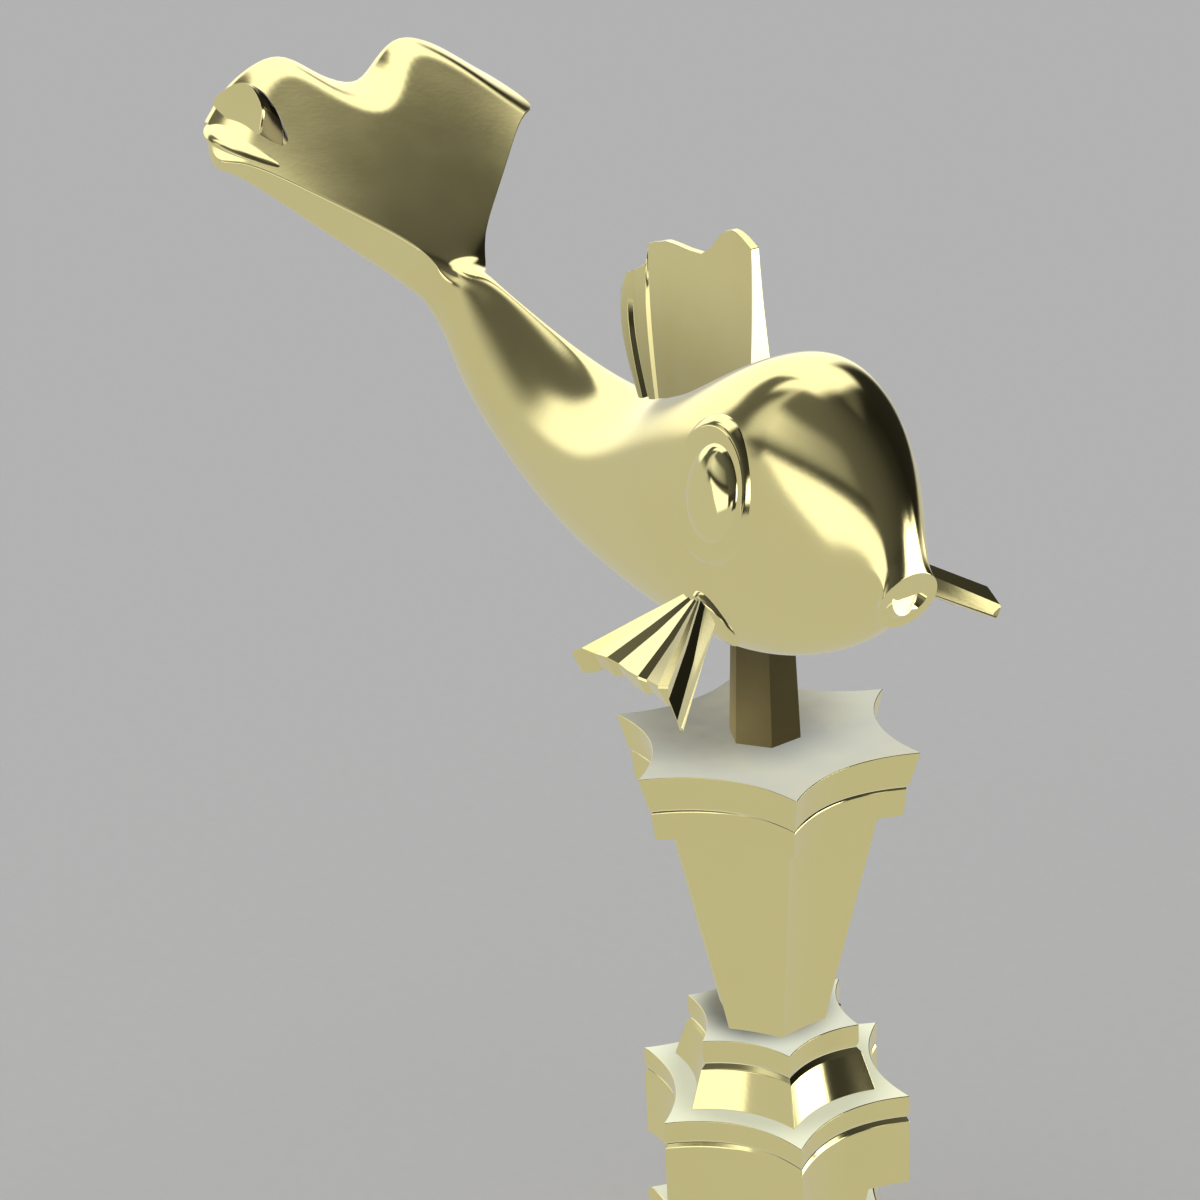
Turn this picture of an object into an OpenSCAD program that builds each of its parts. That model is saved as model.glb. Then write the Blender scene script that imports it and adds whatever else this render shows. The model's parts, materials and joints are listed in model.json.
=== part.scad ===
// Leaping fish ornament in cast brass on a stacked star-section pedestal.
// The fish heads along +X, the mid-plane of the fish is y = 0 and +Z is up.
// The origin is the centre of the underside, where the felt meets the table.
// One tie rod clamps the tiers of the pedestal and the fish together.

/* [Overall] */
// Height of the top face of the cap plate above the table
cap_z = 160; // [157:0.5:164]

/* [Fish] */
// Wall thickness of the hollow cast body
wall = 3; // [2.2:0.1:3.6]
// Width of the lip beside the mouth opening
lip_side = 2.2; // [1.6:0.1:2.8]
// Thickness of the dorsal fin lamella
dorsal_t = 3; // [2.4:0.1:4]
// Downward slope of the pectoral fins in degrees
pectoral_slope = 27; // [22:1:32]
// Half width of the eye's flat face along the body
eye_a = 10; // [9:0.25:11]
// Half height of the eye's flat face
eye_b = 13.6; // [12.5:0.1:14.5]
// Width of the bevel round the eye's flat face
eye_lip = 1.4; // [1:0.1:2.4]
// Height of the eye's domed lens above the flat face
lens_h = 2; // [1.2:0.1:2.6]

/* [Pedestal] */
// Corner radius of the cap plate's top face
cap_r = 35; // [33.5:0.5:36.5]
// Corner radius of the column under the collar
column_r = 25.8; // [24.5:0.1:27]
// Corner radius of the column at its foot
column_foot_r = 12.7; // [12:0.1:14]
// Corner radius of the plinth and shoulder plate
plinth_r = 32.3; // [31:0.1:34]
// Corner radius of the base slab
slab_r = 48; // [45:1:54]
// Circumscribed radius of the hexagonal post at the cap
post_r = 8.2; // [8:0.1:9]

/* [Fasteners] */
// Radius of the tie rod
rod_r = 3; // [2.5:0.1:3]
// Radial clearance between the tie rod and the tiers
rod_gap = 0.3; // [0.2:0.05:0.5]
// Radius of the locating pins between the tiers
pin_r = 1.5; // [1.2:0.1:1.6]

/* [Hidden] */

bore_r = rod_r + rod_gap;
seat_z = 23;              // spot face under the belly, above the cap
bush_r = 6.2;             // threaded bush brazed in the belly

// Heights below the cap plate's top face
z_collar = -8.5;
z_column = -15.5;
z_neck = -69;
z_cove = -74.9;
z_shoulder = -85.3;
z_plinth = -90.8;
z_waist = -108.2;
z_foot = -124;
z_flare = -130;
z_slab = -144;
z_felt = 2 - cap_z;       // top of the felt, 2 mm over the table
z_well = z_slab - 3;      // roof of the nut well in the slab

// Body stations from the tail joint to the mouth:
// top x, top z, bottom x, bottom z, half width, height share of the
// widest line, upper exponent, lower exponent
A0 = -4;                  // tail joint plane in the tail frame
TAIL_O = [-104, 85.5];
function tail_xz(a, h) = [TAIL_O[0] + (h - a)*sqrt(0.5), TAIL_O[1] + (h + a)*sqrt(0.5)];
J_TOP = tail_xz(A0, 4.5);
J_BOT = tail_xz(A0, -18.2);
BODY = [
  [J_TOP[0], J_TOP[1], J_BOT[0], J_BOT[1], 6, .45, 1.7, 2.0],
  [-92, 84, -102, 56, 7.5, .45, 1.6, 2.0],
  [-78, 79, -87, 47, 10.5, .45, 1.7, 2.1],
  [-60, 73, -69, 38, 15, .48, 2.0, 2.1],
  [-38, 66, -45, 30, 20, .52, 2.5, 2.1],
  [-16, 74, -19, 24, 23, .50, 2.4, 2.2],
  [6, 87, 4, 21, 25, .48, 2.2, 2.2],
  [24, 91, 22, 25, 21.5, .46, 2.2, 2.2],
  [39.5, 79.5, 33, 31, 13.5, .42, 2.2, 2.2],
  [44, 64, 39, 36, 7.5, .45, 2.2, 2.2],
  [45, 52, 42, 38, 6.5, .5, 2, 2],
  [46, 49, 43, 37.5, 8, .5, 2, 2]];
BODY_NV = 32;

// Tail stations from the joint plane to the trailing edge: distance
// along the tail, share of the trailing outline, half width, height of
// the side edge, crown above it, edge thickness, depth at the middle
TAIL = [
  [-4, 0, 6, -7, 11.5, .3, 11.2],
  [0, 0, 6.2, -4.2, 7, 2.5, 14.5],
  [5, 0, 7, -1.2, 2.2, 5, 17.8],
  [10, 0, 9.9, 0, 0, 6, 19.5],
  [17, 0, 16, 0, 0, 7, 19.5],
  [25.5, 0, 24, 0, 0, 8.5, 17.5],
  [33, .1, 31.6, 0, 0, 9, 15],
  [39, .3, 37, 0, 0, 8.5, 12.5],
  [45, .55, 41.3, 0, 0, 7.5, 10],
  [50, .75, 44, 0, 0, 6.3, 8],
  [55, .9, 46, 0, 0, 5.2, 6.4],
  [60.5, 1, 47, 0, 0, 4.2, 4.8]];
// Trailing edge by distance from the mid-plane: y, length, curl
EDGE = [[0, 60.5, 4.5], [8, 66, 4.5], [16, 72, 2.5], [24, 70.5, 2],
  [32, 67.5, 6.5], [40, 60, 6.5], [47, 52, 1.5]];
TAIL_N = 12;

// Pectoral fin folds from rear to front: root u, tip u, tip w, fold
// height, tip thickness
FAN = [[-3, -17.5, 22.5, .9, 5], [-2.2, -13.5, 20.8, -.8, 4.6],
  [-1.5, -9.5, 22.3, 1, 5], [-.5, -4, 20.3, -.8, 4.6],
  [.3, 1.5, 22, 1, 5], [1, 7, 20.6, -.8, 4.6],
  [1.8, 12, 22.6, 1, 5], [2.4, 15.4, 22.4, -.6, 5],
  [3.2, 19.5, 26.3, .8, 7]];
FIN_ROOT = [7, -22, 38];
COLLAR_R = 5.2;

// Eye frame: centre of the flat face, tilted a little up and forward
EYE_C = [15, -24.8, 63.8];
EYE_UP = 10.5;
EYE_FWD = 6.5;

// Uniform cubic spline through rows of numbers
function row(P, i) = let(n = len(P)) i < 0 ? 2*P[0] - P[1] :
  i >= n ? 2*P[n-1] - P[n-2] : P[i];
function spline(P, u) = let(i = min(floor(u), len(P) - 2), t = u - i)
  row(P, i-1)*pow(1-t, 3)/6 + row(P, i)*(3*pow(t, 3) - 6*t*t + 4)/6
  + row(P, i+1)*(-3*pow(t, 3) + 3*t*t + 3*t + 1)/6 + row(P, i+2)*pow(t, 3)/6;
function spw(v, e) = sign(v)*pow(abs(v), e);

// One closed oval ring of the body, moved inward by tt, tb and tw
function oval(r, nv, tt = 0, tb = 0, tw = 0) =
  let(L = norm([r[0]-r[2], r[1]-r[3]]), ux = (r[0]-r[2])/L, uz = (r[1]-r[3])/L,
      xb = r[2] + ux*tb, zb = r[3] + uz*tb, d = L - tt - tb, w = r[4] - tw)
  [for (j = [0:nv-1]) let(a = 360*j/nv, c = cos(a), s = sin(a),
      p = c >= 0 ? r[6] : r[7], k = spw(c, 2/p),
      f = k >= 0 ? r[5] + (1 - r[5])*k : r[5] + r[5]*k)
    [xb + ux*d*f, w*spw(s, 2/p), zb + uz*d*f]];

// Closed solid through rings with the same number of points
module loft(R) {
  m = len(R[0]); n = len(R);
  polyhedron(points = [for (r = R) for (p = r) p],
    faces = concat(
      [[for (j = [0:m-1]) j]],
      [for (i = [0:n-2]) for (j = [0:m-1]) let(k = (j+1)%m)
        each [[i*m + j, (i+1)*m + j, (i+1)*m + k], [i*m + j, (i+1)*m + k, i*m + k]]],
      [[for (j = [m-1:-1:0]) (n-1)*m + j]]), convexity = 6);
}

// Star outline: six corners joined by arcs that bow inward
function star(R, s, n = 6) = [for (k = [0:5]) for (i = [0:n-1])
  let(a = 30 + 60*k, b = a + 60, t = i/n, A = R*[cos(a), sin(a)],
      B = R*[cos(b), sin(b)], M = (A + B)/norm(A + B))
    A + (B - A)*t - M*s*R*4*t*(1-t)];
module star_loft(L) {
  R = [for (l = [len(L)-1:-1:0]) [for (p = star(L[l][0], L[l][2])) [p[0], p[1], L[l][1]]]];
  m = len(R[0]); n = len(R);
  // the two star faces are fans round the axis
  polyhedron(points = concat([for (r = R) for (p = r) p],
      [[0, 0, R[0][0][2]], [0, 0, R[n-1][0][2]]]),
    faces = concat([for (j = [0:m-1]) [n*m, j, (j+1)%m]],
      [for (i = [0:n-2]) for (j = [0:m-1]) let(k = (j+1)%m)
        each [[i*m + j, (i+1)*m + j, (i+1)*m + k], [i*m + j, (i+1)*m + k, i*m + k]]],
      [for (j = [0:m-1]) [n*m + 1, (n-1)*m + (j+1)%m, (n-1)*m + j]]), convexity = 6);
}

function egg(a, b, n = 40) = [for (i = [0:n-1]) [a*cos(360*i/n), b*sin(360*i/n)]];

// Locating pins stand across the joints between the tiers
PINS = [[5.6, 0, 1], [9, z_collar, pin_r], [9, z_column, pin_r], [8, z_neck, pin_r],
  [9, z_cove, pin_r], [9, z_shoulder, pin_r], [9, z_plinth, pin_r],
  [9, z_waist, pin_r], [9, z_foot, pin_r], [9, z_flare, pin_r], [13, z_slab, pin_r]];
PIN_L = 5;                // 2.5 mm in each tier, kept short of the wells
module pins(clear = 0, zmin = -200, zmax = 100)
  for (p = PINS) if (p[1] >= zmin - .1 && p[1] <= zmax + .1)
    translate([p[0], 0, p[1] - PIN_L/2 + .25 - clear])
      cylinder(r = p[2] + clear/10, h = PIN_L - .5 + 2*clear, $fn = 24);

// Tier with the rod's bore and its pin holes
module tier(L) translate([0, 0, cap_z]) difference() {
  star_loft(L);
  translate([0, 0, L[len(L)-1][1] - 1]) cylinder(r = bore_r, h = L[0][1] - L[len(L)-1][1] + 2, $fn = 48);
  pins(.25, L[len(L)-1][1], L[0][1]);
}

module eye_frame(side) translate([0, 0, cap_z]) mirror([0, side > 0 ? 1 : 0, 0])
  translate(EYE_C) rotate([0, 0, EYE_FWD]) rotate([-EYE_UP, 0, 0]) rotate([90, 0, 0]) children();

module fin_frame(side) translate([0, 0, cap_z]) mirror([0, side > 0 ? 1 : 0, 0])
  translate(FIN_ROOT) rotate([pectoral_slope, 0, 0]) children();

module fish_body() color([.72, .66, .42]) difference() {
  translate([0, 0, cap_z]) loft(concat(
    [for (u = [0:.25:8]) oval(spline(BODY, u), BODY_NV)],
    [for (u = [8.25:.25:11]) oval(spline(BODY, u), BODY_NV)],
    [oval(spline(BODY, 11), BODY_NV, 4.2, 1.8, lip_side)],
    [oval(spline(BODY, 10.4), BODY_NV, 3.4, 1.8, lip_side)],
    [for (u = [9.5, 9, 8.5, 8]) oval(spline(BODY, u), BODY_NV, wall, wall, wall - .3)],
    [for (u = [7.5:-.5:2]) oval(spline(BODY, u), BODY_NV, wall, wall, wall)]));
  // hole and flat seat under the belly
  translate([0, 0, cap_z + 15]) cylinder(r = bush_r, h = 22, $fn = 48);
  translate([0, 0, cap_z + seat_z - 10]) cylinder(r = post_r, h = 10, $fn = 48);
  // slot for the dorsal fin
  translate([0, dorsal_t/2 + .05, cap_z]) rotate([90, 0, 0]) linear_extrude(dorsal_t + .1)
    polygon([[-37.4, 66.2], [-27, 68], [-16, 72.4], [-5, 78], [4.8, 82.8], [4.8, 100], [-37.4, 100]]);
  for (side = [-1, 1]) {
    // eye pocket
    eye_frame(side) translate([0, 0, -4.85]) linear_extrude(20) polygon(egg(eye_a + eye_lip + .05, eye_b + eye_lip + .05));
    // pectoral fin hole and seat
    fin_frame(side) rotate([90, 0, 0]) {
      translate([0, 0, -9]) cylinder(r = 3.05, h = 12, $fn = 32);
      translate([0, 0, -.8]) cylinder(r = COLLAR_R + .05, h = 12, $fn = 48);
    }
  }
  // dowel hole in the tail joint
  tail_axis() translate([0, 0, -9]) cylinder(r = 2.5, h = 12, $fn = 32);
}

module tail_axis() translate([tail_xz(A0, -7.5)[0], 0, cap_z + tail_xz(A0, -7.5)[1]]) rotate([0, -45, 0]) children();

// Height of the tail's upper skin: curl at the trailing edge and a fold
function edge_at(q) = let(y = [for (e = EDGE) e[0]],
  i = q >= y[6] ? 5 : max([for (k = [0:5]) q >= y[k] ? k : 0]),
  t = (min(q, y[6]) - y[i])/(y[i+1] - y[i]),
  P = i == 0 ? [EDGE[1], EDGE[0], EDGE[1], EDGE[2]] : [row(EDGE, i-1), EDGE[i], EDGE[i+1], row(EDGE, i+2)])
  P[0]*pow(1-t, 3)/6 + P[1]*(3*pow(t, 3) - 6*t*t + 4)/6
  + P[2]*(-3*pow(t, 3) + 3*t*t + 3*t + 1)/6 + P[3]*pow(t, 3)/6;
function tail_pt(r, s, under) =
  let(y = r[2]*s, q = abs(y), e = edge_at(q),
      a = r[0] + r[1]*(e[1] - 60.5),
      curl = e[2]*pow(max(0, (a - (e[1] - 14))/14), 2),
      fold = .45*(sqrt(pow(max(0, q - 30), 2) + 9) - 3),
      rim = 1 - abs(s)*abs(s), top = r[3] + r[4]*pow(max(0, rim), .6) - curl - fold,
      h = under ? r[3] - curl - fold - r[5] - max(0, r[6] - r[5])*pow(max(0, 1 - pow(abs(s), 2.6)), .385) : top,
      x = tail_xz(a, h))
  [x[0], y, x[1]];
function tail_ring(r) = concat(
  [for (j = [0:TAIL_N]) tail_pt(r, sin(90*(2*j/TAIL_N - 1)), false)],
  [for (j = [TAIL_N:-1:0]) tail_pt(r, sin(90*(2*j/TAIL_N - 1)), true)]);
module tail_fin() color([.72, .66, .42]) difference() {
  translate([0, 0, cap_z]) {
    R = [for (u = [0:.5:11]) tail_ring(spline(TAIL, u))];
    m = 2*TAIL_N + 2; n = len(R);
    polyhedron(points = [for (r = R) for (p = r) p],
      faces = concat(
        [for (j = [0:TAIL_N-1]) each [[j, j+1, m-2-j], [j, m-2-j, m-1-j]]],
        [for (i = [0:n-2]) for (j = [0:m-1]) let(k = (j+1)%m)
          each [[i*m + j, (i+1)*m + j, (i+1)*m + k], [i*m + j, (i+1)*m + k, i*m + k]]],
        [for (j = [0:TAIL_N-1]) let(o = (n-1)*m) each [[o + j, o + m-2-j, o + j+1], [o + j, o + m-1-j, o + m-2-j]]]),
      convexity = 6);
  }
  tail_axis() translate([0, 0, -3]) cylinder(r = 2.5, h = 12, $fn = 32);
}

module tail_dowel() color([.62, .56, .34])
  tail_axis() translate([0, 0, -8.8]) cylinder(r = 2.5, h = 17.6, $fn = 32);

module dorsal_fin() color([.72, .66, .42])
  translate([0, dorsal_t/2, cap_z]) rotate([90, 0, 0]) linear_extrude(dorsal_t)
    polygon([[-37.3, 66.3], [-27, 68.1], [-16, 72.5], [-5, 78.1], [4.7, 82.9],
      [2, 106.9], [-1, 108.8], [-3.2, 109.6], [-5.2, 109.9], [-6.9, 109.6], [-9, 108.4],
      [-12, 105.4], [-15.3, 103.5], [-20, 103.7], [-24, 104.2], [-27, 104.4], [-30, 104],
      [-33, 103], [-33.6, 98], [-36, 97.5], [-41.1, 95.2], [-42.8, 91], [-43.6, 85.5],
      [-42.4, 79.5], [-40.6, 73.5], [-38.5, 68.6], [-37.4, 68.4]]);

function fan_pt(f, tip, under) = tip
  ? [f[1], -f[2], under ? -f[4] + .8 : f[3]]
  : [f[0], -1, under ? -5 : f[3]*.4 + 3.4];
module pectoral_fin(side) color([.72, .66, .42]) fin_frame(side) {
  n = len(FAN);
  polyhedron(points = [for (f = FAN) each [fan_pt(f, false, false), fan_pt(f, true, false),
      fan_pt(f, true, true), fan_pt(f, false, true)]],
    faces = concat([[0, 1, 2, 3]],
      [for (i = [0:n-2]) for (j = [0:3]) let(k = (j+1)%4)
        each [[i*4 + j, (i+1)*4 + j, (i+1)*4 + k], [i*4 + j, (i+1)*4 + k, i*4 + k]]],
      [[(n-1)*4 + 3, (n-1)*4 + 2, (n-1)*4 + 1, (n-1)*4]]), convexity = 6);
  rotate([90, 0, 0]) {
    translate([0, 0, -.75]) cylinder(r = COLLAR_R, h = 3.2, $fn = 48);
    translate([0, 0, -6]) cylinder(r = 3, h = 6, $fn = 32);
  }
}
module pectoral_fin_right() pectoral_fin(-1);
module pectoral_fin_left() pectoral_fin(1);

module eye_disc(side) color([.72, .66, .42]) eye_frame(side) {
  translate([0, 0, -4.8]) linear_extrude(3.2) polygon(egg(eye_a + eye_lip, eye_b + eye_lip));
  translate([0, 0, -1.6]) linear_extrude(1.6, scale = [eye_a/(eye_a + eye_lip), eye_b/(eye_b + eye_lip)])
    polygon(egg(eye_a + eye_lip, eye_b + eye_lip));
}
module eye_disc_right() eye_disc(-1);
module eye_disc_left() eye_disc(1);

module eye_lens(side) color([.75, .7, .45]) eye_frame(side)
  loft([for (i = [0:5]) let(e = 15*i, c = max(cos(e), .02)) [for (p = egg(eye_a*.82*c, eye_b*.8*c, 32)) [p[0], p[1] - 1, lens_h*sin(e)]]]);
module eye_lens_right() eye_lens(-1);
module eye_lens_left() eye_lens(1);

module belly_bush() color([.62, .56, .34]) translate([0, 0, cap_z + seat_z]) difference() {
  cylinder(r = bush_r, h = 11, $fn = 48);
  translate([0, 0, -1]) cylinder(r = rod_r + .05, h = 13, $fn = 48);
}

// Six-sided post between the cap plate and the belly
module hex_post() color([.45, .41, .27]) translate([0, 0, cap_z]) difference() {
  loft([for (l = [[7.3, seat_z], [post_r, 0]]) [for (k = [0:5]) [l[0]*cos(30 + 60*k), l[0]*sin(30 + 60*k), l[1]]]]);
  translate([0, 0, -1]) cylinder(r = bore_r, h = seat_z + 2, $fn = 48);
  pins(.25, 0, 0);
}

module cap_plate() color([.74, .68, .45])
  tier([[cap_r, 0, .15], [cap_r - 2.5, -8, .15], [cap_r - 3.3, z_collar, .15]]);
module cap_collar() color([.74, .68, .45])
  tier([[cap_r - 3.3, z_collar, .15], [cap_r - 3, -9, .15], [cap_r - 3.9, z_column, .15]]);
module column() color([.74, .68, .45])
  tier([[column_r, z_column, .15], [column_foot_r + (column_r - column_foot_r)*.5, (z_column + z_neck)/2, .09],
    [column_foot_r, z_neck, .03]]);
module neck_plate() color([.74, .68, .45])
  tier([[20.6, z_neck, .12], [20.6, -73.7, .12], [19.9, z_cove, .12]]);
module cove_block() color([.74, .68, .45])
  tier([[19.9, z_cove, .12], [21.2, -76, .12], [24.4, z_shoulder, .12]]);
module shoulder_plate() color([.74, .68, .45])
  tier([[plinth_r, z_shoulder, .15], [plinth_r, -89.7, .15], [plinth_r - .7, z_plinth, .15]]);
module plinth_block() color([.74, .68, .45])
  tier([[plinth_r - .7, z_plinth, .15], [plinth_r, -92, .15], [plinth_r, z_waist, .15]]);
module waist_block() color([.74, .68, .45])
  tier([[25.5, z_waist, .12], [22.6, -112.2, .12], [21.8, -116, .12], [22.8, -120, .12], [26, z_foot, .12]]);
module foot_plate() color([.74, .68, .45])
  tier([[32, z_foot, .12], [33, -125, .12], [33, z_flare, .12]]);
module flare_block() color([.74, .68, .45])
  tier([[29, z_flare, .12], [29.8, -134, .12], [33.5, -139.5, .12], [42, z_slab, .1]]);

module base_slab() color([.74, .68, .45]) difference() {
  tier([[slab_r - 1, z_slab, .1], [slab_r, z_slab - 1, .1], [slab_r, z_felt, .1]]);
  translate([0, 0, cap_z + z_felt - 1]) cylinder(r = 9, h = z_well - z_felt + 1, $fn = 48);
}

module tie_rod() color([.7, .7, .7])
  translate([0, 0, cap_z + z_well - 9.5]) cylinder(r = rod_r, h = seat_z + 8 - z_well + 9.5, $fn = 48);
module ring(ro, ri, z0, h) translate([0, 0, cap_z + z0]) difference() {
  cylinder(r = ro, h = h, $fn = 48);
  translate([0, 0, -1]) cylinder(r = ri, h = h + 2, $fn = 48);
}
module base_washer() color([.7, .7, .7]) ring(7, rod_r + .2, z_well - 1.6, 1.6);
module spring_washer() color([.65, .65, .65]) difference() {
  ring(5.4, rod_r + .15, z_well - 3.2, 1.6);
  translate([0, -.4, cap_z + z_well - 4]) cube([9, .8, 4]);
}
module base_nut() color([.7, .7, .7]) translate([0, 0, cap_z + z_well - 8.2]) difference() {
  cylinder(r = 5.77, h = 5, $fn = 6);
  translate([0, 0, -1]) cylinder(r = rod_r + .05, h = 7, $fn = 48);
}
module locating_pins() color([.7, .7, .7]) translate([0, 0, cap_z]) pins();

module felt_pad() color([.25, .3, .25]) difference() {
  linear_extrude(2) polygon(star(slab_r - 3, .1));
  translate([0, 0, -1]) cylinder(r = 9.5, h = 4, $fn = 48);
}

fish_body();
tail_fin();
tail_dowel();
dorsal_fin();
pectoral_fin_right();
pectoral_fin_left();
eye_disc_right();
eye_disc_left();
eye_lens_right();
eye_lens_left();
belly_bush();
hex_post();
cap_plate();
cap_collar();
column();
neck_plate();
cove_block();
shoulder_plate();
plinth_block();
waist_block();
foot_plate();
flare_block();
base_slab();
tie_rod();
base_washer();
spring_washer();
base_nut();
locating_pins();
felt_pad();
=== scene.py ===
# Leaping fish ornament in cast brass on a stacked star-section pedestal:
# the finished surfaces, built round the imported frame.
import bpy
import bmesh
import json
import math
import numpy as np
from mathutils import Matrix, Vector

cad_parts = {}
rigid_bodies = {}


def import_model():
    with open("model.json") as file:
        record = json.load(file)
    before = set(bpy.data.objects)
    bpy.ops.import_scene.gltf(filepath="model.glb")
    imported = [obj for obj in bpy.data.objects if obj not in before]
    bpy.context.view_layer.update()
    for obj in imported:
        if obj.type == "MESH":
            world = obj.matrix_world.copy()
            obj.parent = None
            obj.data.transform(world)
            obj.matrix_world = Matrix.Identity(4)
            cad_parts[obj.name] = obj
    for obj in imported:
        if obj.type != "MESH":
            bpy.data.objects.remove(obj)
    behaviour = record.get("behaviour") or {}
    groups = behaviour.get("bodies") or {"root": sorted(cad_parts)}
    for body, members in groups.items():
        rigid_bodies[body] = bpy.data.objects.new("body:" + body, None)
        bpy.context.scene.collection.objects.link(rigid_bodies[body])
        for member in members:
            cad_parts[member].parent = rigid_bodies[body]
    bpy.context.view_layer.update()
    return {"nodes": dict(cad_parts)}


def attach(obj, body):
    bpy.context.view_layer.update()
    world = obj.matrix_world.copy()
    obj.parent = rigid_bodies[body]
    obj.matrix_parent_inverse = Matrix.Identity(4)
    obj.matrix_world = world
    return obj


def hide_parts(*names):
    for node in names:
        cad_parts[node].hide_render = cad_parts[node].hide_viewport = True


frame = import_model()
CAP_Z = 160.0                       # top face of the cap plate, mm
scene = bpy.context.scene
scene.view_settings.view_transform = "Standard"
scene.view_settings.look = "None"
R2 = math.sqrt(0.5)


# ------------------------------------------------------------ materials
def link(nt, a, b):
    nt.links.new(a, b)


def ramp(nt, fac, stops, interp="LINEAR"):
    r = nt.nodes.new("ShaderNodeValToRGB")
    e = r.color_ramp.elements
    r.color_ramp.interpolation = interp
    while len(e) > 1:
        e.remove(e[-1])
    e[0].position = stops[0][0]
    c = stops[0][1]
    e[0].color = (*c, 1) if hasattr(c, "__len__") else (c, c, c, 1)
    for p, c in stops[1:]:
        x = e.new(p)
        x.color = (*c, 1) if hasattr(c, "__len__") else (c, c, c, 1)
    link(nt, fac, r.inputs[0])
    return r.outputs[0]


def mapped(nt, scale, loc=(0, 0, 0)):
    tc = nt.nodes.new("ShaderNodeTexCoord")
    mp = nt.nodes.new("ShaderNodeMapping")
    mp.inputs["Scale"].default_value = scale
    mp.inputs["Location"].default_value = loc
    link(nt, tc.outputs["Object"], mp.inputs["Vector"])
    return mp.outputs[0]


def noise(nt, vec, scale, detail=4.0, rough=0.5):
    n = nt.nodes.new("ShaderNodeTexNoise")
    n.inputs["Scale"].default_value = scale
    n.inputs["Detail"].default_value = detail
    n.inputs["Roughness"].default_value = rough
    link(nt, vec, n.inputs["Vector"])
    return n.outputs[0]


def mix(nt, fac, a, b, blend="MIX"):
    m = nt.nodes.new("ShaderNodeMix")
    m.data_type = "RGBA"
    m.blend_type = blend
    for sock, v in ((m.inputs[0], fac), (m.inputs[6], a), (m.inputs[7], b)):
        if hasattr(v, "is_output"):
            link(nt, v, sock)
        elif hasattr(v, "__len__"):
            sock.default_value = (*v, 1)
        else:
            sock.default_value = v
    return m.outputs[2]


def math_node(nt, op, a, b=None, clamp=False):
    m = nt.nodes.new("ShaderNodeMath")
    m.operation = op
    m.use_clamp = clamp
    for sock, v in ((m.inputs[0], a), (m.inputs[1], b)):
        if v is None:
            continue
        if hasattr(v, "is_output"):
            link(nt, v, sock)
        else:
            sock.default_value = v
    return m.outputs[0]


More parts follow.
